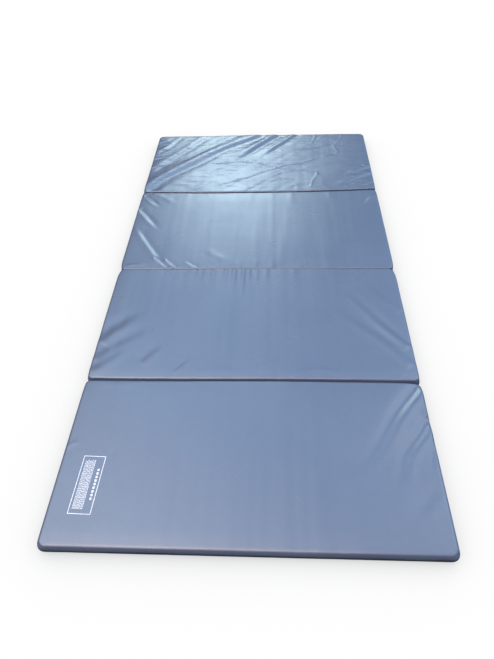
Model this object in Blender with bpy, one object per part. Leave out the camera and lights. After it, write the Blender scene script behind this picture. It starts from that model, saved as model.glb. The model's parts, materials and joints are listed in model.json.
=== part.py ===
"""Folding gym mat: four vinyl-covered foam panels joined edge to edge, so that they fold like an accordion.

Metres, +Z up. X runs across the mat and Y along it. The origin is on the floor, under the middle of the mat.
Panel 1 is at -Y and panel 4 at +Y. Seams 1 and 3 hinge along the bottom, and seam 2 along the top.
"""

import math

import bmesh
import bpy
from mathutils import Vector

# Overall size, laid flat
MAT_WIDTH = 1.2192
MAT_LENGTH = 2.4384
THICKNESS = 0.0508
PANEL_COUNT = 4

# Cover
VINYL = 0.001
CLEARANCE = 0.0003
CORNER_RADIUS = 0.022
BULGE = 0.006

# Seams between panels: how far the cover stays back from the hinge plane
HINGE_EDGE_SETBACK = 0.0008
OPEN_EDGE_SETBACK = 0.008

# Hinge strips
STRIP_WIDTH = 0.050
STRIP_THICKNESS = 0.0008
STRIP_END_INSET = 0.030
AXIS_OFFSET = 0.00025

# Foam
FOAM_EDGE_BEVEL = 0.004

# Facets
CORNER_STEPS = 6
STRIP_ARC_STEPS = 3
PROFILE_STEPS = 5

# Derived sizes
PANEL_PITCH = MAT_LENGTH / PANEL_COUNT
LAYER_UNDER_FOAM = VINYL + CLEARANCE + STRIP_THICKNESS + CLEARANCE
FILL_LOW = LAYER_UNDER_FOAM
FILL_HIGH = THICKNESS - LAYER_UNDER_FOAM
BOXING_END_GAP = math.asin(CLEARANCE / (CORNER_RADIUS - OPEN_EDGE_SETBACK - VINYL))

# Which edge of the panels holds each seam's hinge, from seam 1 to seam 3
HINGE_AT_TOP = (False, True, False)

VINYL_BLUE = (0.155, 0.205, 0.315)
VINYL_SIDE = (0.095, 0.125, 0.185)
VINYL_UNDERSIDE = (0.070, 0.085, 0.115)
HINGE_NAVY = (0.030, 0.040, 0.070)
FOAM_GREY = (0.420, 0.430, 0.440)


def clear_scene():
    for obj in list(bpy.data.objects):
        bpy.data.objects.remove(obj, do_unlink=True)


def make_material(name, colour, roughness):
    material = bpy.data.materials.new(name)
    material.use_nodes = True
    shader = material.node_tree.nodes["Principled BSDF"]
    shader.inputs["Base Color"].default_value = (*colour, 1.0)
    shader.inputs["Roughness"].default_value = roughness
    shader.inputs["Metallic"].default_value = 0.0
    return material


def add_empty(name, world_position, parent=None):
    empty = bpy.data.objects.new(name, None)
    empty.empty_display_size = 0.05
    bpy.context.scene.collection.objects.link(empty)
    offset = Vector(world_position)
    if parent is not None:
        empty.parent = parent
        offset = offset - Vector(parent["world_position"])
    empty.location = offset
    empty["world_position"] = world_position
    return empty


def add_piece(name, bm, material, parent, centre):
    """Makes an object from a mesh drawn round its panel's or seam's centre, carried by its joint's empty."""
    bmesh.ops.recalc_face_normals(bm, faces=bm.faces)
    mesh = bpy.data.meshes.new(name)
    bm.to_mesh(mesh)
    bm.free()
    mesh.materials.append(material)
    piece = bpy.data.objects.new(name, mesh)
    bpy.context.scene.collection.objects.link(piece)
    piece.parent = parent
    piece.location = Vector(centre) - Vector(parent["world_position"])
    return piece


class Edge:
    """One side of a panel: how far the cover stands back from the nominal edge at its bottom, middle and top."""

    def __init__(self, bottom, middle, top):
        self.bottom = bottom
        self.middle = middle
        self.top = top

    def setback(self, height):
        """Quadratic through the three setbacks, with height from 0 at the bottom to 1 at the top."""
        low = 2.0 * (height - 0.5) * (height - 1.0)
        mid = 4.0 * height * (1.0 - height)
        high = 2.0 * height * (height - 0.5)
        return self.bottom * low + self.middle * mid + self.top * high

    def deepest(self):
        return max(self.bottom, self.middle, self.top)


FREE_EDGE = Edge(BULGE, 0.0, BULGE)
HINGED_BELOW = Edge(HINGE_EDGE_SETBACK, 0.002, OPEN_EDGE_SETBACK)
HINGED_ABOVE = Edge(OPEN_EDGE_SETBACK, 0.002, HINGE_EDGE_SETBACK)


def seam_edge(seam_index):
    """The side profile that two panels share at a seam; a seam outside the mat is a free end."""
    if seam_index < 0 or seam_index >= PANEL_COUNT - 1:
        return FREE_EDGE
    return HINGED_ABOVE if HINGE_AT_TOP[seam_index] else HINGED_BELOW


def rounded_outline(setbacks, radius):
    """Plan outline of one panel, anticlockwise from the front right corner."""
    half_x = MAT_WIDTH / 2.0
    half_y = PANEL_PITCH / 2.0
    right = half_x - setbacks["right"]
    left = -half_x + setbacks["left"]
    front = -half_y + setbacks["front"]
    back = half_y - setbacks["back"]
    centres = (
        (right - radius, front + radius, -0.5 * math.pi),
        (right - radius, back - radius, 0.0),
        (left + radius, back - radius, 0.5 * math.pi),
        (left + radius, front + radius, math.pi),
    )
    points = []
    for x, y, start in centres:
        for step in range(CORNER_STEPS + 1):
            angle = start + 0.5 * math.pi * step / CORNER_STEPS
            points.append((x + radius * math.cos(angle), y + radius * math.sin(angle)))
    return points


def prism(outline, low, high):
    """Closed slab with a plan outline."""
    bm = bmesh.new()
    base = bm.faces.new([bm.verts.new((x, y, low)) for x, y in outline])
    extruded = bmesh.ops.extrude_face_region(bm, geom=[base], use_keep_orig=True)
    moved = [item for item in extruded["geom"] if isinstance(item, bmesh.types.BMVert)]
    bmesh.ops.translate(bm, verts=moved, vec=(0.0, 0.0, high - low))
    return bm


def sheet(edges, at_top):
    """Flat vinyl sheet that closes the top or the bottom of a panel's cover."""
    setbacks = {side: (edge.top if at_top else edge.bottom) for side, edge in edges.items()}
    low = THICKNESS - VINYL if at_top else 0.0
    return prism(rounded_outline(setbacks, CORNER_RADIUS), low, low + VINYL)


def foam_core(edges):
    """Foam block with softened edges, inside the boxing."""
    setbacks = {side: edge.deepest() + VINYL + CLEARANCE for side, edge in edges.items()}
    bm = prism(rounded_outline(setbacks, CORNER_RADIUS - BULGE), FILL_LOW, FILL_HIGH)
    rims = [edge for edge in bm.edges if abs(edge.verts[0].co.z - edge.verts[1].co.z) < VINYL]
    bmesh.ops.bevel(
        bm,
        geom=rims,
        offset=FOAM_EDGE_BEVEL,
        offset_type="OFFSET",
        segments=1,
        profile=0.5,
        affect="EDGES",
    )
    return bm


def boxing_section(edge):
    """Points (setback, z) round the wall's cross-section: up the outer face and down the inner face."""
    outer = []
    for step in range(PROFILE_STEPS + 1):
        height = step / PROFILE_STEPS
        z = FILL_LOW + height * (FILL_HIGH - FILL_LOW)
        outer.append((edge.setback(height), z))
    inner = [(setback + VINYL, z) for setback, z in reversed(outer)]
    return outer + inner


def boxing(side, edge):
    """Side wall of one panel, along one side and half way round the corner at each of its ends."""
    along_x = side in ("front", "back")
    half_run = (MAT_WIDTH if along_x else PANEL_PITCH) / 2.0
    half_depth = (PANEL_PITCH if along_x else MAT_WIDTH) / 2.0
    turn = 0.25 * math.pi - BOXING_END_GAP
    stations = []
    for end in (-1.0, 1.0):
        steps = range(STRIP_ARC_STEPS, -1, -1) if end < 0.0 else range(STRIP_ARC_STEPS + 1)
        for step in steps:
            angle = end * turn * step / STRIP_ARC_STEPS
            stations.append((end * (half_run - CORNER_RADIUS), angle))
    heading = {"front": -0.5 * math.pi, "right": 0.0, "back": 0.5 * math.pi, "left": math.pi}[side]
    forward = Vector((math.cos(heading), math.sin(heading), 0.0))
    sideways = Vector((-forward.y, forward.x, 0.0))
    section = boxing_section(edge)
    bm = bmesh.new()
    rings = []
    for run, angle in stations:
        outward = forward * math.cos(angle) + sideways * math.sin(angle)
        pivot = forward * (half_depth - CORNER_RADIUS) + sideways * run
        ring = []
        for setback, z in section:
            point = pivot + outward * (CORNER_RADIUS - setback)
            ring.append(bm.verts.new((point.x, point.y, z)))
        rings.append(ring)
    count = len(section)
    for first, second in zip(rings, rings[1:]):
        for index in range(count):
            following = (index + 1) % count
            bm.faces.new((first[index], second[index], second[following], first[following]))
    bm.faces.new(rings[0])
    bm.faces.new(list(reversed(rings[-1])))
    return bm


def hinge_strip(at_top):
    """Flat reinforced strip between the sheet and the foam, across the seam."""
    half_x = MAT_WIDTH / 2.0 - STRIP_END_INSET
    half_y = STRIP_WIDTH / 2.0
    depth = VINYL + CLEARANCE
    low = THICKNESS - depth - STRIP_THICKNESS if at_top else depth
    outline = ((-half_x, -half_y), (half_x, -half_y), (half_x, half_y), (-half_x, half_y))
    return prism(outline, low, low + STRIP_THICKNESS)


def build_axes():
    """Empties on the hinge lines. Panel 2 is the fixed one; panels 1 and 3 hang on it, and panel 4 on panel 3."""
    below = -AXIS_OFFSET
    above = THICKNESS + AXIS_OFFSET
    fixed = add_empty("panel_2_frame", (0.0, 0.0, 0.0))
    front = add_empty("hinge_1_axis", (0.0, -PANEL_PITCH, below), fixed)
    middle = add_empty("hinge_2_axis", (0.0, 0.0, above), fixed)
    back = add_empty("hinge_3_axis", (0.0, PANEL_PITCH, below), middle)
    return (front, fixed, middle, back)


def build_panel(index, parent, materials):
    number = index + 1
    name = f"panel_{number}"
    centre = (0.0, (index - (PANEL_COUNT - 1) / 2.0) * PANEL_PITCH, 0.0)
    edges = {
        "front": seam_edge(index - 1),
        "back": seam_edge(index),
        "left": FREE_EDGE,
        "right": FREE_EDGE,
    }
    add_piece(f"{name}_foam_core", foam_core(edges), materials["foam"], parent, centre)
    add_piece(f"{name}_top_sheet", sheet(edges, True), materials["vinyl"], parent, centre)
    add_piece(f"{name}_bottom_sheet", sheet(edges, False), materials["underside"], parent, centre)
    for side, edge in edges.items():
        add_piece(f"{name}_{side}_boxing", boxing(side, edge), materials["side"], parent, centre)


def build_hinge_strips(carriers, materials):
    for seam, at_top in enumerate(HINGE_AT_TOP):
        centre = (0.0, (seam + 1 - PANEL_COUNT / 2.0) * PANEL_PITCH, 0.0)
        strip = hinge_strip(at_top)
        add_piece(f"hinge_strip_{seam + 1}", strip, materials["hinge"], carriers[seam], centre)


def main():
    clear_scene()
    materials = {
        "vinyl": make_material("vinyl_top", VINYL_BLUE, 0.35),
        "side": make_material("vinyl_side", VINYL_SIDE, 0.40),
        "underside": make_material("vinyl_underside", VINYL_UNDERSIDE, 0.50),
        "hinge": make_material("hinge_fabric", HINGE_NAVY, 0.60),
        "foam": make_material("foam", FOAM_GREY, 0.90),
    }
    axes = build_axes()
    for index in range(PANEL_COUNT):
        build_panel(index, axes[index], materials)
    # Each strip is listed with the panel that stays still when its own seam folds
    fixed = axes[1]
    build_hinge_strips((fixed, fixed, axes[2]), materials)


main()
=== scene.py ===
"""Looks of the folding gym mat: wrinkled vinyl covers, hinge strips, foam, print, light and camera.

Row frame, metres, +Z up. Places on a panel are given as (u, v): u runs from its left edge (0) to its
right edge (1), and v from its front edge (0) to its back edge (1).
"""

import json
import math

import bpy
import numpy as np
from mathutils import Matrix, Vector

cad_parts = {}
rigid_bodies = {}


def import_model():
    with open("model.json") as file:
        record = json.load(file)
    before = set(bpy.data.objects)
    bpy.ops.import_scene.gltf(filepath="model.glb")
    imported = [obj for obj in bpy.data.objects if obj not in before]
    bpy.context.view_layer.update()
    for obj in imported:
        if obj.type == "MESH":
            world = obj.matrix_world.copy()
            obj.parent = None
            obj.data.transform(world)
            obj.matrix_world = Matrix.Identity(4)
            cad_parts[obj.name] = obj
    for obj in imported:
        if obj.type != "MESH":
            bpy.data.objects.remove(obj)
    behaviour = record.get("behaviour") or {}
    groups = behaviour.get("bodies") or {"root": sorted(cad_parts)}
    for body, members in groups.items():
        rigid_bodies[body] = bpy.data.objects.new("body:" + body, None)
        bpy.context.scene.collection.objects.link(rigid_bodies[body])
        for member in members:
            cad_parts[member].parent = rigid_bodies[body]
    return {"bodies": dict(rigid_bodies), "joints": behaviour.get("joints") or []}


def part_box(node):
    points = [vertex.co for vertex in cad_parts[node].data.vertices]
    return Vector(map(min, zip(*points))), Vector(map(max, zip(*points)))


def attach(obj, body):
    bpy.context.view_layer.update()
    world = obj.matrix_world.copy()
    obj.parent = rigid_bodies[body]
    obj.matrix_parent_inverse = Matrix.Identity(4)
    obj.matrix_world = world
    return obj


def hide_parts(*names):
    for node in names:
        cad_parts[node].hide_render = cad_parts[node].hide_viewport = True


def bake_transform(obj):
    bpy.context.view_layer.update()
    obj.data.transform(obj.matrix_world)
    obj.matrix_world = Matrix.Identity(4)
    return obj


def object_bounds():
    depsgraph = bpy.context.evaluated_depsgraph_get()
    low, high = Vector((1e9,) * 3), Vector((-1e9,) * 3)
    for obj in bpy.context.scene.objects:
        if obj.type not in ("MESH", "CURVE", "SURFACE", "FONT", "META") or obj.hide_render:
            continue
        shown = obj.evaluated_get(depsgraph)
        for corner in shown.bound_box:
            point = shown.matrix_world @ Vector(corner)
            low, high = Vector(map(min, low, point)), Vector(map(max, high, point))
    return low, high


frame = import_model()
CAD_LOW, CAD_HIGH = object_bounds()

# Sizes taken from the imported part
WIDTH = CAD_HIGH.x - CAD_LOW.x
LENGTH = CAD_HIGH.y - CAD_LOW.y
THICKNESS = CAD_HIGH.z
PANELS = [name for name in sorted(frame["bodies"]) if name.startswith("panel_")]
HINGES = {joint["name"]: joint for joint in frame["joints"]}
SIDES = ("front", "back", "left", "right")
MM = 0.001

# Cover shape
OUTER_CORNER = 0.021
SEAM_CORNER = 0.014
RIM_STEPS = (0.0012, 0.0028, 0.0050, 0.0080, 0.0120, 0.0170, 0.0230, 0.0300)
PANEL_CELL = {"panel_1": 0.0060, "panel_2": 0.0060, "panel_3": 0.0055, "panel_4": 0.0042}
BOXING_ROWS = 14
# Room left between the highest wrinkle and the top of the box
HEADROOM = 0.0002
# How far the cover bulges past its top outline at a seam that hinges along the bottom
SEAM_BULGE = 0.0030

# Seams: how far from one its bend is felt, how each strays from a straight line, and how far the stitching
# draws the sides in, by seam number
BEND_REACH = 0.30
SEAM_1_WAVE, SEAM_1_TURNS, SEAM_1_START = 0.0016, 3.4, 0.6
SEAM_3_CURL, SEAM_3_POWER, SEAM_3_TILT, SEAM_3_SHIFT = 0.0155, 2.6, 0.004, -0.003
PINCH = {1: 0.0025, 2: 0.0070, 3: 0.0025}
PINCH_REACH = 0.030

# Bottom sheet: broad slack, small puckers, how far in from the rim both set in, and the rim that turns up
SLACK_DEPTH = 0.0011
PUCKER_DEPTH = 0.0008
SLACK_FROM, SLACK_TO = 0.010, 0.060
RIM_LIFT = 0.0024
RIM_WIDTH = 0.012

# Walls: lean at a hinged side, slack at half height, puckers along the stitched edges, how far the walls stay
# inside the box, and the share of the slack that a hinged side gets
WALL_LEAN = 0.0014
WALL_SLACK = 0.0009
WALL_PUCKER = 0.0005
WALL_CLEARANCE = 0.0003
HINGED_SHARE = 0.3

# Foam block: its inset from the wall, its softened edge, its gap below the cover's lowest point, its gap above
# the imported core's underside, and its grid
FOAM_INSET = 0.006
FOAM_EDGE = 0.007
FOAM_TOP_GAP = 0.0012
FOAM_BASE_GAP = 0.0020
FOAM_CELL = 0.040

# Hinge strips: depth under the covers, and grid points across and along
STRIP_DEPTH = 0.0012
STRIP_GRID = (140, 25)


# ---------------------------------------------------------------- small helpers

# Noise lattice: its size, and the place in it of the frame's origin
LATTICE = 96
LATTICE_START = 40.0


def link(obj):
    bpy.context.scene.collection.objects.link(obj)
    return obj


def mesh_object(name, vertices, faces, smooth=True):
    mesh = bpy.data.meshes.new(name)
    mesh.from_pydata([tuple(v) for v in vertices], [], faces)
    mesh.validate()
    if smooth:
        mesh.shade_smooth()
    return link(bpy.data.objects.new(name, mesh))


def smoothstep(low, high, value):
    t = np.clip((value - low) / (high - low), 0.0, 1.0)
    return t * t * (3.0 - 2.0 * t)


def soft_noise(x, y, size, seed):
    """Smooth random field from -1 to 1 with bumps about size metres apart; size may be (along x, along y)."""
    size_x, size_y = size if isinstance(size, tuple) else (size, size)
    lattice = np.random.default_rng(seed).uniform(-1.0, 1.0, (LATTICE, LATTICE))
    gx = x / size_x + LATTICE_START
    gy = y / size_y + LATTICE_START
    ix = np.floor(gx).astype(int)
    iy = np.floor(gy).astype(int)
    fx = gx - ix
    fy = gy - iy
    fx = fx * fx * fx * (fx * (fx * 6.0 - 15.0) + 10.0)
    fy = fy * fy * fy * (fy * (fy * 6.0 - 15.0) + 10.0)
    a = lattice[ix % LATTICE, iy % LATTICE]
    b = lattice[(ix + 1) % LATTICE, iy % LATTICE]
    c = lattice[ix % LATTICE, (iy + 1) % LATTICE]
    d = lattice[(ix + 1) % LATTICE, (iy + 1) % LATTICE]
    return (a * (1 - fx) + b * fx) * (1 - fy) + (c * (1 - fx) + d * fx) * fy


# ---------------------------------------------------------------- folds in the vinyl


class Fold:
    """A fold along a smooth curve through points in (u, v).

    height raises a ridge (below 0, a valley) with flanks left and right metres wide, seen along the curve
    from its first point. step makes one steep flank between a crest on the left and a trough on the right
    (the other way round below 0), each step metres high and width metres from the curve. fade gives how much
    of its length, at each end, it takes to rise and to die away.
    """

    KNOT_STEPS = 8
    REACH = 3.6

    def __init__(self, points, height=0.0, left=0.01, right=0.01, fade=(0.25, 0.35), step=0.0, width=0.01):
        self.points = points
        self.height = height
        self.left = left
        self.right = right
        self.fade = fade
        self.step = step
        self.width = width

    def curve(self, panel):
        """Catmull-Rom curve through the points, in metres."""
        knots = [np.array(panel.place(u, v)) for u, v in self.points]
        knots = [2 * knots[0] - knots[1]] + knots + [2 * knots[-1] - knots[-2]]
        path = []
        for p0, p1, p2, p3 in zip(knots, knots[1:], knots[2:], knots[3:]):
            for t in np.linspace(0.0, 1.0, self.KNOT_STEPS + 1)[:-1]:
                path.append(
                    0.5
                    * (
                        2 * p1
                        + (p2 - p0) * t
                        + (2 * p0 - 5 * p1 + 4 * p2 - p3) * t * t
                        + (3 * p1 - p0 - 3 * p2 + p3) * t**3
                    )
                )
        path.append(knots[-2])
        return np.array(path)

    def add_to(self, panel, x, y, z):
        path = self.curve(panel)
        reach = self.REACH * max(self.left, self.right, self.width)
        near = (
            (x > path[:, 0].min() - reach)
            & (x < path[:, 0].max() + reach)
            & (y > path[:, 1].min() - reach)
            & (y < path[:, 1].max() + reach)
        )
        if not near.any():
            return
        px = x[near]
        py = y[near]
        steps = np.diff(path, axis=0)
        lengths = np.hypot(steps[:, 0], steps[:, 1])
        starts = np.concatenate([[0.0], np.cumsum(lengths)])
        best = np.full(px.shape, 1e9)
        along = np.zeros(px.shape)
        side = np.zeros(px.shape)
        for (ax, ay), (sx, sy), length, start in zip(path[:-1], steps, lengths, starts):
            t = np.clip(((px - ax) * sx + (py - ay) * sy) / length**2, 0.0, 1.0)
            dx = px - ax - t * sx
            dy = py - ay - t * sy
            distance = np.hypot(dx, dy)
            closer = distance < best
            best = np.where(closer, distance, best)
            along = np.where(closer, (start + t * length) / starts[-1], along)
            side = np.where(closer, sx * dy - sy * dx, side)
        flank = np.where(side > 0.0, self.left, self.right)
        across = np.sign(side) * best / self.width
        rise = smoothstep(0.0, max(self.fade[0], 1e-3), along)
        fall = 1.0 - smoothstep(1.0 - max(self.fade[1], 1e-3), 1.0, along)
        profile = self.height * np.exp(-((best / flank) ** 2))
        profile += self.step * across * np.exp(0.5 - 0.5 * across**2)
        z[near] += rise * fall * profile


FOLDS = {
    "panel_1": (
        Fold([(1.010, 0.985), (0.927, 0.780), (0.886, 0.649), (0.844, 0.526), (0.807, 0.442),
             (0.770, 0.330)], -1.8 * MM, 0.046, 0.046, (0.00, 0.85), step=4.2 * MM, width=0.0175),
        Fold([(1.010, 0.740), (0.967, 0.619), (0.928, 0.521), (0.905, 0.395), (0.885, 0.270)], -1.6 * MM,
             0.040, 0.040, (0.00, 0.85), step=3.7 * MM, width=0.0155),
        Fold([(1.000, 0.570), (0.991, 0.500), (0.985, 0.430)], fade=(0.20, 0.50), step=0.9 * MM,
             width=0.007),
        Fold([(0.99, 0.330), (0.945, 0.230), (0.900, 0.150)], fade=(0.20, 0.60), step=0.8 * MM,
             width=0.018),
        Fold([(0.63, 0.990), (0.600, 0.920), (0.575, 0.850)], 0.6 * MM, 0.022, 0.016, (0.10, 0.60)),
        Fold([(0.79, 0.985), (0.760, 0.910), (0.740, 0.850)], 0.6 * MM, 0.020, 0.014, (0.10, 0.60)),
        Fold([(0.30, 0.985), (0.360, 0.930), (0.430, 0.905)], 0.5 * MM, 0.014, 0.014, (0.10, 0.60)),
        Fold([(0.003, 0.530), (0.020, 0.563), (0.045, 0.555)], 0.9 * MM, 0.007, 0.006, (0.10, 0.50)),
        Fold([(0.140, 0.560), (0.133, 0.490), (0.128, 0.420)], -0.6 * MM, 0.008, 0.010, (0.40, 0.50)),
        Fold([(0.02, 0.985), (0.10, 0.955), (0.20, 0.975)], 0.6 * MM, 0.014, 0.014, (0.30, 0.40)),
    ),
    "panel_2": (
        Fold([(0.003, 0.300), (0.045, 0.400), (0.100, 0.510), (0.150, 0.580)], fade=(0.02, 0.70),
             step=-2.3 * MM, width=0.027),
        Fold([(0.003, 0.150), (0.060, 0.260), (0.120, 0.350), (0.190, 0.430)], fade=(0.05, 0.70),
             step=-1.7 * MM, width=0.024),
        Fold([(0.003, 0.060), (0.060, 0.160), (0.100, 0.250), (0.130, 0.330)], fade=(0.05, 0.65),
             step=-1.4 * MM, width=0.020),
        Fold([(0.150, 0.110), (0.184, 0.200), (0.215, 0.290)], fade=(0.20, 0.50), step=-1.1 * MM,
             width=0.017),
        Fold([(0.262, 0.050), (0.290, 0.120), (0.315, 0.180)], fade=(0.15, 0.55), step=-0.9 * MM,
             width=0.009),
        Fold([(0.997, 0.262), (0.925, 0.440), (0.875, 0.590), (0.800, 0.800)], fade=(0.04, 0.75),
             step=3.0 * MM, width=0.015),
        Fold([(0.997, 0.120), (0.930, 0.290), (0.850, 0.450), (0.760, 0.620)], fade=(0.04, 0.70),
             step=2.0 * MM, width=0.018),
        Fold([(0.997, 0.560), (0.930, 0.700), (0.870, 0.835)], 0.9 * MM, 0.020, 0.012, (0.10, 0.60)),
        Fold([(0.960, 0.040), (0.935, 0.110), (0.915, 0.180)], 1.1 * MM, 0.010, 0.007, (0.10, 0.55)),
        Fold([(0.600, 0.030), (0.700, 0.080), (0.800, 0.050)], 0.9 * MM, 0.012, 0.012, (0.30, 0.40)),
        Fold([(0.300, 0.030), (0.400, 0.070), (0.520, 0.035)], 0.7 * MM, 0.012, 0.012, (0.30, 0.40)),
    ),
    "panel_3": (
        Fold([(0.006, 0.950), (0.040, 0.880), (0.090, 0.770)], fade=(0.10, 0.60), step=-2.0 * MM,
             width=0.009),
        Fold([(0.040, 0.990), (0.110, 0.900), (0.170, 0.780)], 1.0 * MM, 0.016, 0.016, (0.10, 0.60)),
        Fold([(0.002, 0.755), (0.050, 0.622), (0.115, 0.440)], fade=(0.02, 0.65), step=-2.0 * MM,
             width=0.011),
        Fold([(0.010, 0.520), (0.075, 0.303), (0.120, 0.160), (0.155, 0.040)], fade=(0.25, 0.25),
             step=-1.3 * MM, width=0.012),
        Fold([(0.110, 0.140), (0.145, 0.070), (0.175, 0.010)], fade=(0.25, 0.05), step=-1.8 * MM,
             width=0.006),
        Fold([(0.155, 0.125), (0.185, 0.055), (0.207, 0.010)], fade=(0.30, 0.05), step=-1.8 * MM,
             width=0.006),
        Fold([(0.235, 0.090), (0.262, 0.045), (0.285, 0.010)], fade=(0.30, 0.10), step=-0.8 * MM,
             width=0.007),
        Fold([(0.012, 0.035), (0.060, 0.050), (0.115, 0.035)], 1.7 * MM, 0.006, 0.008, (0.20, 0.40)),
        Fold([(0.300, 0.250), (0.350, 0.150), (0.410, 0.070)], 0.8 * MM, 0.018, 0.018, (0.40, 0.40)),
        Fold([(0.335, 0.040), (0.325, 0.350), (0.330, 0.750)], 0.5 * MM, 0.016, 0.022, (0.05, 0.80)),
        Fold([(0.415, 0.020), (0.410, 0.400), (0.420, 0.900)], 0.7 * MM, 0.018, 0.020, (0.05, 0.70)),
        Fold([(0.500, 0.020), (0.495, 0.400), (0.505, 0.850)], 0.6 * MM, 0.016, 0.020, (0.05, 0.80)),
        Fold([(0.590, 0.030), (0.600, 0.350), (0.610, 0.700)], 0.5 * MM, 0.018, 0.022, (0.05, 0.80)),
        Fold([(0.998, 0.970), (0.960, 0.880), (0.930, 0.770)], fade=(0.05, 0.60), step=1.2 * MM,
             width=0.010),
    ),
    "panel_4": (
        Fold([(0.000, 0.030), (0.075, 0.240), (0.169, 0.430), (0.262, 0.615), (0.334, 0.745),
             (0.420, 0.870), (0.520, 0.999)], 0.9 * MM, 0.050, 0.026, (0.03, 0.04), step=2.7 * MM,
             width=0.026),
        Fold([(0.150, 0.330), (0.450, 0.350), (0.850, 0.340)], -2.2 * MM, 0.095, 0.095, (0.25, 0.25)),
        Fold([(0.010, 0.360), (0.080, 0.540), (0.150, 0.720), (0.230, 0.970)], fade=(0.10, 0.10),
             step=1.3 * MM, width=0.019),
        Fold([(0.005, 0.660), (0.060, 0.790), (0.110, 0.970)], fade=(0.10, 0.10), step=0.9 * MM,
             width=0.013),
        Fold([(0.370, 0.470), (0.438, 0.640), (0.510, 0.820), (0.590, 0.999)], fade=(0.45, 0.02),
             step=2.7 * MM, width=0.020),
        Fold([(0.500, 0.560), (0.570, 0.730), (0.630, 0.870), (0.680, 0.999)], fade=(0.45, 0.02),
             step=2.0 * MM, width=0.014),
        Fold([(0.300, 0.085), (0.427, 0.206), (0.531, 0.329), (0.624, 0.431), (0.707, 0.472),
             (0.800, 0.600)], 1.0 * MM, 0.006, 0.005, (0.15, 0.20)),
        Fold([(0.230, 0.505), (0.314, 0.472), (0.407, 0.497), (0.500, 0.452), (0.572, 0.390),
             (0.666, 0.339), (0.760, 0.325)], 0.9 * MM, 0.006, 0.005, (0.20, 0.25)),
        Fold([(0.724, 0.050), (0.736, 0.165), (0.754, 0.247), (0.764, 0.380)], 0.7 * MM, 0.005, 0.006,
             (0.05, 0.40)),
        Fold([(0.640, 0.100), (0.700, 0.130), (0.760, 0.120)], 0.7 * MM, 0.006, 0.006, (0.30, 0.30)),
        Fold([(0.520, 0.150), (0.590, 0.190), (0.660, 0.190)], 0.7 * MM, 0.006, 0.006, (0.30, 0.30)),
        Fold([(0.560, 0.250), (0.600, 0.300), (0.650, 0.330)], 0.7 * MM, 0.006, 0.006, (0.30, 0.30)),
        Fold([(0.830, 0.060), (0.925, 0.190), (0.999, 0.275)], fade=(0.40, 0.02), step=1.9 * MM,
             width=0.013),
        Fold([(0.880, 0.230), (0.950, 0.325), (0.999, 0.385)], fade=(0.40, 0.02), step=1.5 * MM,
             width=0.011),
        Fold([(0.930, 0.060), (0.970, 0.105), (0.999, 0.140)], fade=(0.40, 0.02), step=0.9 * MM,
             width=0.008),
        Fold([(0.965, 0.420), (0.985, 0.400), (0.999, 0.395)], 1.6 * MM, 0.004, 0.004, (0.20, 0.05)),
        Fold([(0.740, 0.780), (0.757, 0.880), (0.772, 0.999)], 0.6 * MM, 0.006, 0.006, (0.40, 0.02)),
        Fold([(0.765, 0.850), (0.790, 0.910), (0.830, 0.999)], 0.6 * MM, 0.006, 0.006, (0.35, 0.02)),
        Fold([(0.850, 0.560), (0.862, 0.660), (0.850, 0.760), (0.880, 0.860), (0.900, 0.999)], 0.45 * MM,
             0.007, 0.006, (0.15, 0.02)),
        Fold([(0.620, 0.700), (0.720, 0.700), (0.800, 0.760), (0.860, 0.830)], 0.8 * MM, 0.008, 0.006,
             (0.25, 0.25)),
        Fold([(0.780, 0.570), (0.830, 0.590), (0.862, 0.600)], 0.9 * MM, 0.005, 0.005, (0.30, 0.25)),
        Fold([(0.002, 0.400), (0.040, 0.430), (0.090, 0.480)], fade=(0.02, 0.60), step=1.2 * MM,
             width=0.007),
        Fold([(0.002, 0.560), (0.040, 0.575), (0.080, 0.600)], fade=(0.02, 0.60), step=1.2 * MM,
             width=0.007),
        Fold([(0.002, 0.720), (0.040, 0.725), (0.080, 0.745)], fade=(0.02, 0.60), step=1.1 * MM,
             width=0.007),
        Fold([(0.002, 0.860), (0.030, 0.880), (0.060, 0.920)], fade=(0.02, 0.60), step=1.1 * MM,
             width=0.007),
    ),
}

# Short gathers where the stitching draws the vinyl in: (u, length as a share of the panel, height and width
# in mm)
GATHERS = {
    ("panel_2", "back"): (
        (0.270, 0.08, 0.8, 5), (0.295, 0.14, 1.2, 6), (0.318, 0.18, 1.4, 6), (0.350, 0.25, 1.5, 9),
        (0.395, 0.22, 1.3, 8), (0.425, 0.28, 1.7, 8), (0.458, 0.34, 2.3, 8), (0.478, 0.18, 1.6, 5),
        (0.505, 0.24, 1.3, 8), (0.540, 0.16, 0.9, 8), (0.120, 0.06, 0.7, 6), (0.200, 0.08, 0.8, 7),
        (0.640, 0.12, 0.6, 10), (0.760, 0.10, 0.6, 9),
    ),
    ("panel_3", "front"): (
        (0.330, 0.08, 0.5, 7), (0.380, 0.14, 0.7, 9), (0.440, 0.18, 0.8, 11), (0.500, 0.12, 0.6, 9),
        (0.560, 0.16, 0.6, 12), (0.660, 0.10, 0.4, 10),
    ),
    ("panel_3", "back"): (
        (0.200, 0.16, 0.3, 12), (0.290, 0.12, 0.3, 11), (0.370, 0.20, 0.3, 14), (0.470, 0.26, 0.4, 16),
        (0.560, 0.20, 0.3, 14), (0.640, 0.30, 0.4, 16), (0.800, 0.20, 0.3, 14), (0.880, 0.24, 0.3, 14),
    ),
}

# Long shallow waves that run along the mat: depth in mm per panel
WAVE_DEPTH = {"panel_1": 0.35, "panel_2": 0.40, "panel_3": 0.28, "panel_4": 0.25}
# How far the cover bends down toward its left and right edges, in mm
SIDE_CROWN = {"panel_1": 0.8, "panel_2": 1.0, "panel_3": 1.4, "panel_4": 2.2}
SIDE_CROWN_REACH = 0.055
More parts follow.
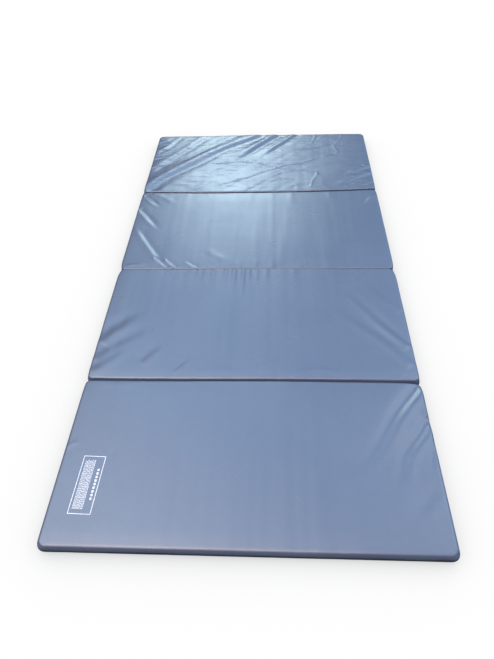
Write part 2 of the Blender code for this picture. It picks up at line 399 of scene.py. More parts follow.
# The same toward a seam or an open end: depth in mm, and how far in from the edge it starts
END_CROWN = {
    ("panel_1", "front"): (1.8, 0.060),
    ("panel_1", "back"): (1.0, 0.070),
    ("panel_2", "front"): (2.6, 0.050),
    ("panel_3", "back"): (2.2, 0.095),
    ("panel_4", "back"): (0.8, 0.040),
}
# How the cover's lip turns over at its edges: depth in mm and reach; the rest turn over like FREE_LIP
FREE_LIP = (2.2, 0.007)
SEAM_LIP = {
    ("panel_1", "back"): (2.2, 0.004),
    ("panel_2", "front"): (3.4, 0.006),
    ("panel_2", "back"): (2.5, 0.004),
    ("panel_3", "front"): (2.2, 0.0035),
    ("panel_3", "back"): (3.0, 0.006),
    ("panel_4", "front"): (2.4, 0.005),
}
# Broad swells: depth in mm per panel
SWELL = {"panel_1": 0.35, "panel_2": 0.45, "panel_3": 0.50, "panel_4": 0.90}
# Fine crumpling, on the back panel only: depth in mm, how far its lines wander, and how thick they are
CRUMPLE_DEPTH = 0.40
CRUMPLE_WARP = 0.020
CRUMPLE_WIDTH = 0.22
# Creases on the back panel only: slanted ones that fade out toward the right, and fine level ones; depth in
# mm and size in metres
SLANT_DIRECTION = (0.72, 0.69)
SLANT_DEPTH, SLANT_SIZE = 0.55, (0.20, 0.024)
SLANT_FADE = (-0.15, 0.35)
LEVEL_DEPTH, LEVEL_SIZE = 0.30, (0.070, 0.016)


# ---------------------------------------------------------------- panel geometry


class Panel:
    """One panel's outlines and surface heights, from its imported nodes."""

    def __init__(self, name):
        self.name = name
        self.index = PANELS.index(name)
        low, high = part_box(f"{name}_top_sheet")
        self.top = (low.x, high.x, low.y, high.y)
        low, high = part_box(f"{name}_bottom_sheet")
        self.bottom = (low.x, high.x, low.y, high.y)
        walls = {side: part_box(f"{name}_{side}_boxing") for side in SIDES}
        self.middle = (
            walls["left"][0].x,
            walls["right"][1].x,
            walls["front"][0].y,
            walls["back"][1].y,
        )
        pitch = LENGTH / len(PANELS)
        self.front = CAD_LOW.y + pitch * self.index
        self.back = self.front + pitch
        # +1 where the neighbour hinges along the top, -1 along the bottom, 0 at a free end
        self.hinge = {"front": self.hinge_at(self.front), "back": self.hinge_at(self.back)}
        left, right, front, back = self.top
        front -= SEAM_BULGE * (self.hinge["front"] < 0)
        back += SEAM_BULGE * (self.hinge["back"] < 0)
        self.top = (left, right, front, back)
        self.headroom = None
        self.lowest = None

    def hinge_at(self, y):
        for joint in HINGES.values():
            if abs(joint["pos_m"][1] - y) < 0.01:
                return 1 if joint["pos_m"][2] > THICKNESS / 2 else -1
        return 0

    def place(self, u, v):
        return (
            self.top[0] + u * (self.top[1] - self.top[0]),
            self.front + v * (self.back - self.front),
        )

    def bow(self, x, y):
        """The seams aren't quite straight: how far a point moves along the mat and in from the sides."""
        across = x / (WIDTH / 2)
        shift = np.zeros_like(x)
        inset = np.zeros_like(x)
        for side, edge in (("front", self.front), ("back", self.back)):
            near = 1.0 - smoothstep(0.0, BEND_REACH, np.abs(y - edge))
            seam = self.index if side == "front" else self.index + 1
            if seam == 3:
                curl = SEAM_3_CURL * np.abs(across) ** SEAM_3_POWER
                shift += near * (curl + SEAM_3_TILT * across + SEAM_3_SHIFT)
            if seam == 1:
                shift += near * SEAM_1_WAVE * np.sin(SEAM_1_TURNS * across + SEAM_1_START)
            inset += PINCH.get(seam, 0.0) * np.exp(-(((y - edge) / PINCH_REACH) ** 2))
        return shift, inset

    def wrap(self, rect, x, y):
        """Carries a grid over rect (x and y from -1 to 1) on to the rounded outline."""
        x0, x1, y0, y1 = rect
        px = x0 + (x + 1) / 2 * (x1 - x0)
        py = y0 + (y + 1) / 2 * (y1 - y0)
        front = OUTER_CORNER if self.hinge["front"] == 0 else SEAM_CORNER
        back = OUTER_CORNER if self.hinge["back"] == 0 else SEAM_CORNER
        radius = np.where(y < 0, front, back)
        cx = np.clip(px, x0 + radius, x1 - radius)
        cy = np.clip(py, y0 + radius, y1 - radius)
        qx = px - cx
        qy = py - cy
        longest = np.maximum(np.abs(qx), np.abs(qy))
        length = np.hypot(qx, qy)
        scale = np.where(length > 1e-9, longest / np.maximum(length, 1e-9), 1.0)
        px = cx + qx * scale
        py = cy + qy * scale
        shift, inset = self.bow(px, py)
        return px - np.sign(px) * inset * np.abs(px) / (WIDTH / 2), py + shift

    def folds(self, x, y):
        """Height of the wrinkles, in metres, before the whole sheet is let down under the top of the box."""
        z = np.zeros_like(x)
        for fold in FOLDS[self.name]:
            fold.add_to(self, x, y, z)
        for side in ("front", "back"):
            edge = 0.0 if side == "front" else 1.0
            inward = 1.0 if side == "front" else -1.0
            for u, length, height, width in GATHERS.get((self.name, side), ()):
                lean = 0.02 * (0.45 - u)
                start = (u, edge + inward * 0.006)
                end = (u - lean, edge + inward * length)
                middle = (u - 0.3 * lean, edge + inward * length * 0.5)
                gather = Fold([start, middle, end], height * MM, width * MM, width * MM, (0.02, 0.90))
                gather.add_to(self, x, y, z)
        seed = 10 * self.index
        z += WAVE_DEPTH[self.name] * MM * soft_noise(x, y, (0.055, 0.60), seed + 1)
        z += 0.6 * WAVE_DEPTH[self.name] * MM * soft_noise(x, y, (0.024, 0.35), seed + 2)
        z += SWELL[self.name] * MM * soft_noise(x, y, 0.17, seed + 3)
        if self.name == "panel_4":
            z += self.crumple(x, y)
            a, b = SLANT_DIRECTION
            along = a * x + b * y
            across = b * x - a * y
            strength = 1.0 - smoothstep(*SLANT_FADE, x)
            z += SLANT_DEPTH * MM * strength * soft_noise(along, across, SLANT_SIZE, 400)
            z += LEVEL_DEPTH * MM * soft_noise(x, y, LEVEL_SIZE, 401)
        return z

    def crumple(self, x, y):
        """Fine creases: thin ridges along the zero lines of a noise field, stretched across the mat."""
        seed = 100 + 10 * self.index
        warp_x = CRUMPLE_WARP * soft_noise(x, y, 0.090, seed)
        warp_y = CRUMPLE_WARP * soft_noise(x, y, 0.090, seed + 1)
        field = soft_noise(x + warp_x, y + warp_y, (0.130, 0.060), seed + 2)
        ridge = np.exp(-((field / CRUMPLE_WIDTH) ** 2))
        where = smoothstep(-0.1, 0.6, soft_noise(x, y, 0.16, seed + 3))
        depth = CRUMPLE_DEPTH * MM
        return depth * (ridge * where + 0.5 * soft_noise(x, y, (0.050, 0.030), seed + 4))

    def roll_off(self, x, y):
        """How far the sheet drops as it turns over into the seam at its rim. x and y run from -1 to 1."""
        x0, x1, y0, y1 = self.top
        to_side = (1 - np.abs(x)) * (x1 - x0) / 2
        to_front = (1 + y) * (y1 - y0) / 2
        to_back = (1 - y) * (y1 - y0) / 2
        drop = FREE_LIP[0] * MM * np.clip(1 - to_side / FREE_LIP[1], 0, 1) ** 2
        crown = SIDE_CROWN[self.name] * MM * np.clip(1 - to_side / SIDE_CROWN_REACH, 0, 1) ** 2
        for distance, side in ((to_front, "front"), (to_back, "back")):
            depth, reach = SEAM_LIP.get((self.name, side), FREE_LIP)
            drop = np.maximum(drop, depth * MM * np.clip(1 - distance / reach, 0, 1) ** 2)
        for distance, side in ((to_front, "front"), (to_back, "back")):
            depth, reach = END_CROWN.get((self.name, side), (0.0, 0.1))
            crown = crown + depth * MM * np.clip(1 - distance / reach, 0, 1) ** 2
        return drop + crown

    def top_points(self, x, y):
        """Points of the top sheet for a grid from -1 to 1."""
        px, py = self.wrap(self.top, x, y)
        folds = self.folds(px, py)
        if self.headroom is None:
            self.headroom = folds.max() + HEADROOM
            self.lowest = THICKNESS - self.headroom + folds.min()
        return np.stack([px, py, THICKNESS - self.headroom + folds - self.roll_off(x, y)], -1)

    def cover_height(self, x, y):
        """Height of the top sheet over points in the row frame."""
        shift, _ = self.bow(x, y)
        x0, x1, y0, y1 = self.top
        gx = np.clip((x - x0) / (x1 - x0) * 2 - 1, -1, 1)
        gy = np.clip((y - shift - y0) / (y1 - y0) * 2 - 1, -1, 1)
        return THICKNESS - self.headroom + self.folds(x, y) - self.roll_off(gx, gy)

    def bottom_points(self, x, y):
        """Points of the bottom sheet: flat on the floor, with shallow slack above it and a turned-up rim."""
        px, py = self.wrap(self.bottom, x, y)
        slack = SLACK_DEPTH * (1 + soft_noise(px, py, (0.30, 0.11), 50 + self.index)) / 2
        slack += PUCKER_DEPTH * np.maximum(0, soft_noise(px, py, (0.06, 0.16), 60 + self.index))
        x0, x1, y0, y1 = self.bottom
        inside = np.minimum((1 - np.abs(x)) * (x1 - x0) / 2, (1 - np.abs(y)) * (y1 - y0) / 2)
        rim = RIM_LIFT * np.clip(1 - inside / RIM_WIDTH, 0, 1) ** 2
        flat = smoothstep(SLACK_FROM, SLACK_TO, inside)
        return np.stack([px, py, slack * flat + rim], -1)


def cut_size(rect):
    """Width and length of a sheet that fills rect."""
    return rect[1] - rect[0], rect[3] - rect[2]


def axis_lines(length, cell):
    """Grid lines from -1 to 1, close together near both ends, where the sheet rolls over."""
    rim = np.concatenate([[0.0], RIM_STEPS])
    middle_length = length - 2 * rim[-1]
    count = max(2, round(middle_length / cell))
    middle = rim[-1] + middle_length * np.arange(1, count) / count
    metres = np.concatenate([rim, middle, length - rim[::-1]])
    return metres / length * 2 - 1


def grid_faces(columns, rows, flip=False):
    faces = []
    for j in range(rows - 1):
        for i in range(columns - 1):
            a = j * columns + i
            quad = (a, a + 1, a + 1 + columns, a + columns)
            faces.append(quad[::-1] if flip else quad)
    return faces


def rim_order(columns, rows):
    """Indices of a grid's outer vertices, anticlockwise seen from above."""
    front = list(range(columns))
    right = [j * columns + columns - 1 for j in range(1, rows)]
    back = [(rows - 1) * columns + i for i in range(columns - 2, -1, -1)]
    left = [j * columns for j in range(rows - 2, 0, -1)]
    return front + right + back + left


def build_sheet(panel, which, cell, material):
    x0, x1, y0, y1 = panel.top
    xs = axis_lines(x1 - x0, cell)
    ys = axis_lines(y1 - y0, cell)
    x, y = np.meshgrid(xs, ys)
    points = panel.top_points(x, y) if which == "top" else panel.bottom_points(x, y)
    flat = points.reshape(-1, 3)
    obj = mesh_object(
        f"{panel.name}_{which}_vinyl",
        flat,
        grid_faces(len(xs), len(ys), flip=which == "bottom"),
    )
    obj.data.materials.append(material)
    rim = flat[rim_order(len(xs), len(ys))]
    return obj, rim


def build_boxing(panel, top_rim, material):
    """The wall between the two sheets, round the whole panel, with its length and height laid flat."""
    x0, x1, y0, y1 = panel.top
    xs = axis_lines(x1 - x0, PANEL_CELL[panel.name])
    ys = axis_lines(y1 - y0, PANEL_CELL[panel.name])
    x, y = np.meshgrid(xs, ys)
    order = rim_order(len(xs), len(ys))
    gx = x.reshape(-1)[order]
    gy = y.reshape(-1)[order]
    mx, my = panel.wrap(panel.middle, gx, gy)
    bottom_rim = panel.bottom_points(gx, gy)
    hinged_front = (panel.hinge["front"] != 0) & (gy < -0.999)
    hinged_back = (panel.hinge["back"] != 0) & (gy > 0.999)
    my = my + np.where(hinged_front, WALL_LEAN, 0.0) - np.where(hinged_back, WALL_LEAN, 0.0)
    rows = []
    for row in range(BOXING_ROWS + 1):
        h = row / BOXING_ROWS
        low = 2 * (h - 0.5) * (h - 1)
        mid = 4 * h * (1 - h)
        high = 2 * h * (h - 0.5)
        px = bottom_rim[:, 0] * low + mx * mid + top_rim[:, 0] * high
        py = bottom_rim[:, 1] * low + my * mid + top_rim[:, 1] * high
        pz = bottom_rim[:, 2] * (1 - h) + top_rim[:, 2] * h
        slack = WALL_SLACK * mid * soft_noise(px + py, pz, (0.060, 0.030), 300 + panel.index)
        slack += WALL_PUCKER * soft_noise(px + py, pz, (0.018, 0.060), 310 + panel.index) * (1 - mid)
        toward_x = np.sign(px) * (np.abs(gx) > 0.999)
        toward_y = np.sign(gy) * (np.abs(gy) > 0.999)
        slack = np.minimum(slack, 0.0) - WALL_CLEARANCE * mid
        px = px + toward_x * slack
        py = py + toward_y * slack * np.where(hinged_front | hinged_back, HINGED_SHARE, 1.0)
        rows.append(np.stack([px, py, pz], -1))
    count = len(order)
    faces = []
    for row in range(BOXING_ROWS):
        for i in range(count):
            k = (i + 1) % count
            faces.append((row * count + i, row * count + k, (row + 1) * count + k, (row + 1) * count + i))
    obj = mesh_object(f"{panel.name}_boxing", np.vstack(rows), faces)
    obj.data.materials.append(material)
    half_way = rows[BOXING_ROWS // 2]
    around = np.linalg.norm(half_way - np.roll(half_way, 1, axis=0), axis=1).sum()
    tall = np.linalg.norm(np.diff(np.stack(rows), axis=0), axis=2).sum(axis=0).mean()
    return obj, (float(around), float(tall))


# ---------------------------------------------------------------- materials


class Nodes:
    """Short way to add and join shader nodes."""

    def __init__(self, tree):
        self.tree = tree
        tree.nodes.clear()

    def add(self, kind, inputs=None, **settings):
        node = self.tree.nodes.new(kind)
        for key, value in settings.items():
            setattr(node, key, value)
        for key, value in (inputs or {}).items():
            socket = node.inputs[key]
            if isinstance(value, bpy.types.NodeSocket):
                self.tree.links.new(value, socket)
            else:
                socket.default_value = value
        return node

    def math(self, operation, a, b=0.0):
        return self.add("ShaderNodeMath", {0: a, 1: b}, operation=operation).outputs[0]

    def noise(self, vector, scale, detail=2.0, roughness=0.5):
        inputs = {"Vector": vector, "Scale": scale, "Detail": detail, "Roughness": roughness}
        return self.add("ShaderNodeTexNoise", inputs).outputs["Fac"]

    def ramp(self, value, stops):
        node = self.add("ShaderNodeValToRGB", {"Fac": value})
        elements = node.color_ramp.elements
        while len(elements) < len(stops):
            elements.new(0.5)
        for element, (position, colour) in zip(elements, stops):
            element.position = position
            element.color = (*colour, 1.0)
        return node.outputs["Color"]

    def mix(self, factor, a, b):
        node = self.add("ShaderNodeMix", data_type="RGBA")
        for socket, value in zip((node.inputs[0], node.inputs[6], node.inputs[7]), (factor, a, b)):
            if isinstance(value, bpy.types.NodeSocket):
                self.tree.links.new(value, socket)
            else:
                socket.default_value = value
        return node.outputs[2]


def new_material(name):
    material = bpy.data.materials.new(name)
    material.use_nodes = True
    return material, Nodes(material.node_tree)


# Where the dark lower part of a wall ends and the full colour begins, as shares of the height, and how far
# that line wanders
DARK_TO, LIGHT_FROM = 0.54, 0.62
DARK_WANDER = 0.004
# Vinyl relief: depth of pores, weave, small dents and large dents, in metres, and the strength of all of them
PORE_DEPTH, WEAVE_DEPTH, DENT_DEPTH, BEND_DEPTH = 0.00012, 0.00010, 0.00030, 0.00150
RELIEF_STRENGTH = 0.22
# How far scuffs take the roughness below and above its middle value
SCUFF_DOWN, SCUFF_UP = 0.07, 0.08


def vinyl_material(name, colour, roughness, grain=1.0, dark_low=None):
    """Coated vinyl: soft colour mottling, faint weave and pores, and scuffs in the gloss.

    dark_low is the colour of the lower half of a wall.
    """
    material, n = new_material(name)
    place = n.add("ShaderNodeTexCoord").outputs["Object"]
    mottle = n.noise(place, 3.0, 3.0)
    fine = n.noise(place, 45.0, 3.0)
    r, g, b = colour
    base = n.ramp(mottle, ((0.0, (r * 0.84, g * 0.86, b * 0.90)), (1.0, (r * 1.16, g * 1.14, b * 1.10))))
    dark, light = (0.4, 1.6)
    speckle = n.ramp(fine, ((0.0, (r * dark, g * dark, b * dark)), (1.0, (r * light, g * light, b * light))))
    base = n.mix(0.10, base, speckle)
    if dark_low is not None:
        height = n.add("ShaderNodeSeparateXYZ", {0: place}).outputs["Z"]
        wander = n.math("MULTIPLY", n.noise(place, 9.0, 1.0), DARK_WANDER)
        level = n.math("ADD", height, wander)
        share = n.add(
            "ShaderNodeMapRange",
            {"Value": level, "From Min": THICKNESS * DARK_TO, "From Max": THICKNESS * LIGHT_FROM},
            interpolation_type="SMOOTHSTEP",
        ).outputs[0]
        base = n.mix(share, (*dark_low, 1.0), base)
    scuff = n.noise(place, 7.0, 4.0, 0.6)
    rough = n.add(
        "ShaderNodeMapRange",
        {"Value": scuff, "To Min": roughness - SCUFF_DOWN, "To Max": roughness + SCUFF_UP},
    ).outputs[0]
    pores = n.add("ShaderNodeTexVoronoi", {"Vector": place, "Scale": 900.0}, feature="SMOOTH_F1").outputs[0]
    weave = n.noise(place, 320.0, 2.0)
    peel = n.noise(place, 60.0, 2.0)
    relief = n.math("MULTIPLY", pores, PORE_DEPTH * grain)
    relief = n.math("ADD", relief, n.math("MULTIPLY", weave, WEAVE_DEPTH * grain))
    relief = n.math("ADD", relief, n.math("MULTIPLY", peel, DENT_DEPTH * grain))
    stretch = n.add("ShaderNodeMapping", {"Vector": place, "Scale": (0.45, 1.0, 1.0)}).outputs[0]
    bent = n.add(
        "ShaderNodeTexNoise",
        {"Vector": stretch, "Scale": 16.0, "Detail": 4.0, "Distortion": 0.6},
    ).outputs["Fac"]
    relief = n.math("ADD", relief, n.math("MULTIPLY", bent, BEND_DEPTH * grain))
    bump = n.add("ShaderNodeBump", {"Height": relief, "Strength": RELIEF_STRENGTH, "Distance": 1.0})
    shader = n.add(
        "ShaderNodeBsdfPrincipled",
        {"Base Color": base, "Roughness": rough, "Normal": bump.outputs[0]},
    )
    shader.inputs["IOR"].default_value = 1.5
    shader.inputs["Specular IOR Level"].default_value = 0.5
    n.add("ShaderNodeOutputMaterial", {"Surface": shader.outputs[0]})
    return material


def foam_material():
    """Closed-cell foam: small round cells and a faint colour change."""
    material, n = new_material("foam")
    place = n.add("ShaderNodeTexCoord").outputs["Object"]
    cells = n.add("ShaderNodeTexVoronoi", {"Vector": place, "Scale": 420.0}).outputs[0]
    tint = n.ramp(n.noise(place, 12.0), ((0.3, (0.36, 0.37, 0.38)), (0.7, (0.46, 0.47, 0.48))))
    bump = n.add("ShaderNodeBump", {"Height": cells, "Strength": 0.4, "Distance": 0.0006})
    shader = n.add(
        "ShaderNodeBsdfPrincipled",
        {"Base Color": tint, "Roughness": 0.9, "Normal": bump.outputs[0]},
    )
    n.add("ShaderNodeOutputMaterial", {"Surface": shader.outputs[0]})
    return material


WEAVE_SCALE = 390.0


def hinge_material():
    """Coated reinforcement fabric with a fine plain weave."""
    material, n = new_material("hinge_fabric")
    place = n.add("ShaderNodeTexCoord").outputs["Object"]
    threads = {"Vector": place, "Scale": WEAVE_SCALE}
    across = n.add("ShaderNodeTexWave", threads, bands_direction="X").outputs["Fac"]
    along = n.add("ShaderNodeTexWave", threads, bands_direction="Y").outputs["Fac"]
    weave = n.math("MULTIPLY", across, along)
    tint = n.ramp(weave, ((0.0, (0.012, 0.017, 0.032)), (1.0, (0.030, 0.042, 0.075))))
    bump = n.add("ShaderNodeBump", {"Height": weave, "Strength": 0.5, "Distance": 0.0003})
    shader = n.add(
        "ShaderNodeBsdfPrincipled",
        {"Base Color": tint, "Roughness": 0.6, "Normal": bump.outputs[0]},
    )
    n.add("ShaderNodeOutputMaterial", {"Surface": shader.outputs[0]})
    return material


def ink_material():
    """Screen-printed white ink, slightly worn."""
    material, n = new_material("white_ink")
    place = n.add("ShaderNodeTexCoord").outputs["Object"]
    wear = n.noise(place, 260.0, 3.0)
    tint = n.ramp(wear, ((0.30, (0.32, 0.31, 0.29)), (0.55, (0.52, 0.49, 0.45))))
    shader = n.add("ShaderNodeBsdfPrincipled", {"Base Color": tint, "Roughness": 0.5})
    n.add("ShaderNodeOutputMaterial", {"Surface": shader.outputs[0]})
    return material


# ---------------------------------------------------------------- foam, hinge strips and print


def build_foam(panel, material):
    """Foam block with softened edges, following the cover's outline and standing under its lowest wrinkle."""
    low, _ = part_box(f"{panel.name}_foam_core")
    x0, x1, y0, y1 = panel.middle
    rect = (x0 + FOAM_INSET, x1 - FOAM_INSET, y0 + FOAM_INSET, y1 - FOAM_INSET)
    wide, deep = cut_size(rect)
    xs = axis_lines(wide, FOAM_CELL)
    ys = axis_lines(deep, FOAM_CELL)
    gx, gy = (grid.reshape(-1) for grid in np.meshgrid(xs, ys))
    px, py = panel.wrap(rect, gx, gy)
    inside = np.minimum((1 - np.abs(gx)) * wide, (1 - np.abs(gy)) * deep) / 2
    edge = FOAM_EDGE * np.clip(1 - inside / FOAM_EDGE, 0, 1) ** 2
    top = panel.lowest - FOAM_TOP_GAP - edge
    base = np.full_like(px, low.z + FOAM_BASE_GAP) + edge * 0.5
    count = len(px)
    faces = grid_faces(len(xs), len(ys))
    faces += [tuple(i + count for i in face[::-1]) for face in faces]
    order = rim_order(len(xs), len(ys))
    for i, k in zip(order, order[1:] + order[:1]):
        faces.append((i + count, k + count, k, i))
    vertices = np.concatenate([np.stack([px, py, top], -1), np.stack([px, py, base], -1)])
    obj = mesh_object(f"{panel.name}_foam", vertices, faces)
    obj.data.set_sharp_from_angle(angle=math.radians(50))
    obj.data.materials.append(material)
    return obj


def build_hinge_strip(number, near, far, material):
    """Reinforced strip across the seam between panels near and far, in line with their edges."""
    joint = HINGES[f"hinge_{number}"]
    low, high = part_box(f"hinge_strip_{number}")
    z = (low.z + high.z) / 2
    y_mid = joint["pos_m"][1]
    half = (high.y - low.y) / 2
    at_top = joint["pos_m"][2] > THICKNESS / 2
    xs = np.linspace(low.x, high.x, STRIP_GRID[0])
    ys = np.linspace(-half, half, STRIP_GRID[1])
    x, y = np.meshgrid(xs, ys)
    shift, _ = near.bow(x, np.full_like(x, near.back))
    py = y_mid + y + shift
    pz = np.full_like(x, z)
    if at_top:
        cover = np.where(y < 0, near.cover_height(x, py), far.cover_height(x, py))
        pz = np.minimum(cover, THICKNESS) - STRIP_DEPTH
    points = np.stack([x, py, pz], -1).reshape(-1, 3)
    obj = mesh_object(f"hinge_strip_{number}_fabric", points, grid_faces(len(xs), len(ys)))
    modifier = obj.modifiers.new("strip", "SOLIDIFY")
    modifier.thickness = high.z - low.z
    modifier.offset = 0.0
    obj.data.materials.append(material)
    return obj


# Print: its place from the panel's front-left corner, its size and turn, the frame's line, its height over the
# vinyl, and its grid
PRINT_LEFT = 0.066
PRINT_FRONT = 0.103
PRINT_WIDTH = 0.072
PRINT_LENGTH = 0.194
PRINT_TURN = math.radians(-1.8)
PRINT_LINE = 0.0020
PRINT_LIFT = 0.00025
PRINT_CELL = 0.006
# Rows of short bars: how many, where they start and end, and the bars' width, lengths and gaps
BLOCK_ROWS = 8
BLOCK_LEFT, BLOCK_WIDTH = 0.0100, 0.0345
BLOCK_FRONT, BLOCK_STOP, BLOCK_BACK = 0.016, 0.018, 0.014
BAR_WIDTH, BAR_LENGTHS, BAR_GAP = 0.0022, (0.002, 0.007), 0.0020
# Row of squares beside them
SQUARES_LEFT, SQUARES_FRONT, SQUARES_BACK, SQUARES_PITCH = 0.0560, 0.046, 0.148, 0.0120
SQUARE_SIZE = (0.0062, 0.0075)


def build_print(panel, material):
    """A framed block of plain bars in white ink, standing in for small print. It says nothing."""
    rng = np.random.default_rng(7)
    bars = [
        (0.0, 0.0, PRINT_WIDTH, PRINT_LINE),
        (0.0, PRINT_LENGTH - PRINT_LINE, PRINT_WIDTH, PRINT_LINE),
        (0.0, 0.0, PRINT_LINE, PRINT_LENGTH),
        (PRINT_WIDTH - PRINT_LINE, 0.0, PRINT_LINE, PRINT_LENGTH),
    ]
    pitch = BLOCK_WIDTH / BLOCK_ROWS
    for row in range(BLOCK_ROWS):
        x = BLOCK_LEFT + row * pitch
        y = BLOCK_FRONT
        while y < PRINT_LENGTH - BLOCK_STOP:
            run = min(rng.uniform(*BAR_LENGTHS), PRINT_LENGTH - BLOCK_BACK - y)
            bars.append((x, y, BAR_WIDTH, run))
            y += run + BAR_GAP
    y = SQUARES_FRONT
    while y < SQUARES_BACK:
        bars.append((SQUARES_LEFT, y, *SQUARE_SIZE))
        y += SQUARES_PITCH
    origin = Vector((panel.top[0] + PRINT_LEFT, panel.front + PRINT_FRONT, 0.0))
    turn = Matrix.Rotation(PRINT_TURN, 4, "Z")
    vertices = []
    faces = []
    for x, y, wide, long in bars:
        nx = max(1, math.ceil(wide / PRINT_CELL))
        ny = max(1, math.ceil(long / PRINT_CELL))
        first = len(vertices)
        for j in range(ny + 1):
            for i in range(nx + 1):
                vertices.append(origin + turn @ Vector((x + wide * i / nx, y + long * j / ny, 0.0)))
        for j in range(ny):
            for i in range(nx):
                a = first + j * (nx + 1) + i
                faces.append((a, a + 1, a + nx + 2, a + nx + 1))
    flat = np.array(vertices)
    flat[:, 2] = THICKNESS - panel.headroom + panel.folds(flat[:, 0], flat[:, 1]) + PRINT_LIFT
    obj = mesh_object("panel_1_print", flat, faces)
    obj.data.materials.append(material)
    return obj


# ---------------------------------------------------------------- light, floor and camera

# Camera: place in metres, angles in degrees, sensor and lens in millimetres
CAMERA_PLACE = (0.082, -1.747, 1.560)
CAMERA_PITCH = 47.45
CAMERA_ROLL = -2.99
CAMERA_YAW = -4.32
SENSOR = 36.0
LENS = 28.53

# Soft lights in the sky: (elevation, azimuth from straight ahead, half width in degrees, colour)
GLOWS = (
    (29.5, -5.0, 4.2, (11.2, 14.8, 16.0)),
    (48.0, -13.0, 9.5, (1.3, 2.3, 3.7)),
    (62.0, -60.0, 17.0, (3.9, 4.6, 5.3)),
    (72.0, -130.0, 16.0, (10.2, 7.6, 6.5)),
    (56.0, 52.0, 9.0, (2.6, 2.1, 1.4)),
    (40.0, 50.0, 20.0, (1.8, 3.2, 5.3)),
)
# Overhead light, the height on a unit sphere where it starts, the light from below, and what the camera sees
ZENITH = (0.55, 1.22, 2.3)
ZENITH_FROM = 0.60
GROUND = (0.16, 0.17, 0.20)
BACKDROP = (1.0, 1.0, 1.0)


def build_camera():
    pitch, roll, yaw = (math.radians(a) for a in (CAMERA_PITCH, CAMERA_ROLL, CAMERA_YAW))
    forward = Vector((math.sin(yaw) * math.cos(pitch), math.cos(yaw) * math.cos(pitch), -math.sin(pitch)))
    level = Vector((math.cos(yaw), -math.sin(yaw), 0.0))
    upward = level.cross(forward)
    right = level * math.cos(roll) + upward * math.sin(roll)
    up = upward * math.cos(roll) - level * math.sin(roll)
    camera = link(bpy.data.objects.new("camera", bpy.data.cameras.new("camera")))
    matrix = Matrix((right, up, -forward)).transposed().to_4x4()
    matrix.translation = Vector(CAMERA_PLACE)
    camera.matrix_world = matrix
    camera.data.sensor_width = SENSOR
    camera.data.lens = LENS
    camera.data.clip_start = 0.01
    camera.data.clip_end = 100.0
    bpy.context.scene.camera = camera


def direction(elevation, azimuth):
    e, a = math.radians(elevation), math.radians(azimuth)
    return (math.sin(a) * math.cos(e), math.cos(a) * math.cos(e), math.sin(e))


def build_world():
    world = bpy.data.worlds.new("studio")
    bpy.context.scene.world = world
    world.use_nodes = True
    n = Nodes(world.node_tree)
    ray = n.add("ShaderNodeTexCoord").outputs["Generated"]
    height = n.add("ShaderNodeSeparateXYZ", {0: ray}).outputs["Z"]
    above = n.add(
        "ShaderNodeMapRange",
        {"Value": height, "From Min": ZENITH_FROM, "From Max": 1.0},
        interpolation_type="SMOOTHSTEP",
    ).outputs[0]
    sky = n.add("ShaderNodeVectorMath", {0: ZENITH, "Scale": above}, operation="SCALE").outputs[0]
    for elevation, azimuth, spread, colour in GLOWS:
        sharpness = 1.0 / math.radians(spread) ** 2
        toward = direction(elevation, azimuth)
        cosine = n.add("ShaderNodeVectorMath", {0: ray, 1: toward}, operation="DOT_PRODUCT").outputs["Value"]
        power = n.math("POWER", n.math("MAXIMUM", cosine, 0.0), sharpness)
        glow = n.add("ShaderNodeVectorMath", {0: colour, "Scale": power}, operation="SCALE").outputs[0]
        sky = n.add("ShaderNodeVectorMath", {0: sky, 1: glow}, operation="ADD").outputs[0]
    low = n.add("ShaderNodeMapRange", {"Value": height, "From Min": -0.02, "From Max": 0.06}).outputs[0]
    sky = n.mix(low, (*GROUND, 1.0), sky)
    light = n.add("ShaderNodeBackground", {"Color": sky}).outputs[0]
    backdrop = n.add("ShaderNodeBackground", {"Color": (*BACKDROP, 1.0)}).outputs[0]
    seen = n.add("ShaderNodeLightPath").outputs["Is Camera Ray"]
    both = n.add("ShaderNodeMixShader", {0: seen, 1: light, 2: backdrop}).outputs[0]
    n.add("ShaderNodeOutputWorld", {"Surface": both})


# Floor: half its size, how near the mat shades it, and its colour where it is shaded most
FLOOR_REACH = 12.0
SHADE_REACH = 0.30
SHADE = (0.45, 0.46, 0.48)


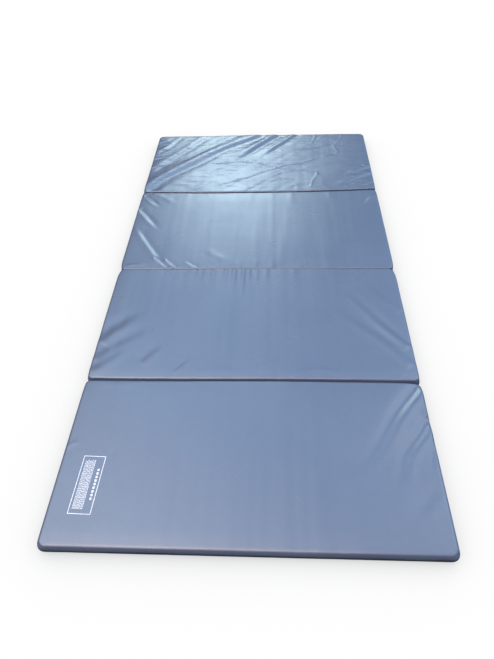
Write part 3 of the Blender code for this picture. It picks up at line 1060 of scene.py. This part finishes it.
def build_floor():
    """Clear floor over the pale backdrop, darker where the mat shades it.

    A panel that is folded below it stays in sight.
    """
    r = FLOOR_REACH
    corners = [(-r, -r, 0.0), (r, -r, 0.0), (r, r, 0.0), (-r, r, 0.0)]
    floor = mesh_object("floor", corners, [(0, 1, 2, 3)], smooth=False)
    material, n = new_material("pale_floor")
    open_sky = n.add("ShaderNodeAmbientOcclusion", {"Distance": SHADE_REACH}, samples=16).outputs["AO"]
    tint = n.ramp(open_sky, ((0.0, SHADE), (1.0, (1.0, 1.0, 1.0))))
    shader = n.add("ShaderNodeBsdfTransparent", {"Color": tint})
    n.add("ShaderNodeOutputMaterial", {"Surface": shader.outputs[0]})
    floor.data.materials.append(material)
    floor.visible_shadow = False
    floor.visible_diffuse = False
    floor.visible_glossy = False


# ---------------------------------------------------------------- assembly

build_camera()
build_world()
build_floor()
bpy.context.scene.view_settings.view_transform = "Standard"

VINYL_BLUE = (0.044, 0.053, 0.072)
# The walls are the same vinyl as the top, painted lighter: painted light on the walls
WALL_LIT_BLUE = (0.075, 0.100, 0.145)
WALL_DARK = (0.007, 0.010, 0.014)
UNDERSIDE_BLUE = (0.030, 0.040, 0.058)
vinyl = vinyl_material("vinyl_top", VINYL_BLUE, 0.25)
wall = vinyl_material("vinyl_side", WALL_LIT_BLUE, 0.32, dark_low=WALL_DARK)
underside = vinyl_material("vinyl_underside", UNDERSIDE_BLUE, 0.45, grain=1.6)
foam = foam_material()
hinge_fabric = hinge_material()
ink = ink_material()

panels = [Panel(name) for name in PANELS]
for panel in panels:
    name = panel.name
    top, top_rim = build_sheet(panel, "top", PANEL_CELL[name], vinyl)
    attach(top, name)
    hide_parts(f"{name}_top_sheet")
    boxing, boxing_flat = build_boxing(panel, top_rim, wall)
    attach(boxing, name)
    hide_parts(*(f"{name}_{side}_boxing" for side in SIDES))
    bottom, _ = build_sheet(panel, "bottom", PANEL_CELL[name], underside)
    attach(bottom, name)
    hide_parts(f"{name}_bottom_sheet")
    core = build_foam(panel, foam)
    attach(core, name)
    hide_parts(f"{name}_foam_core")

for number in (1, 2, 3):
    strip = build_hinge_strip(number, panels[number - 1], panels[number], hinge_fabric)
    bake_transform(strip)
    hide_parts(f"hinge_strip_{number}")

printed = build_print(panels[0], ink)
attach(printed, PANELS[0])
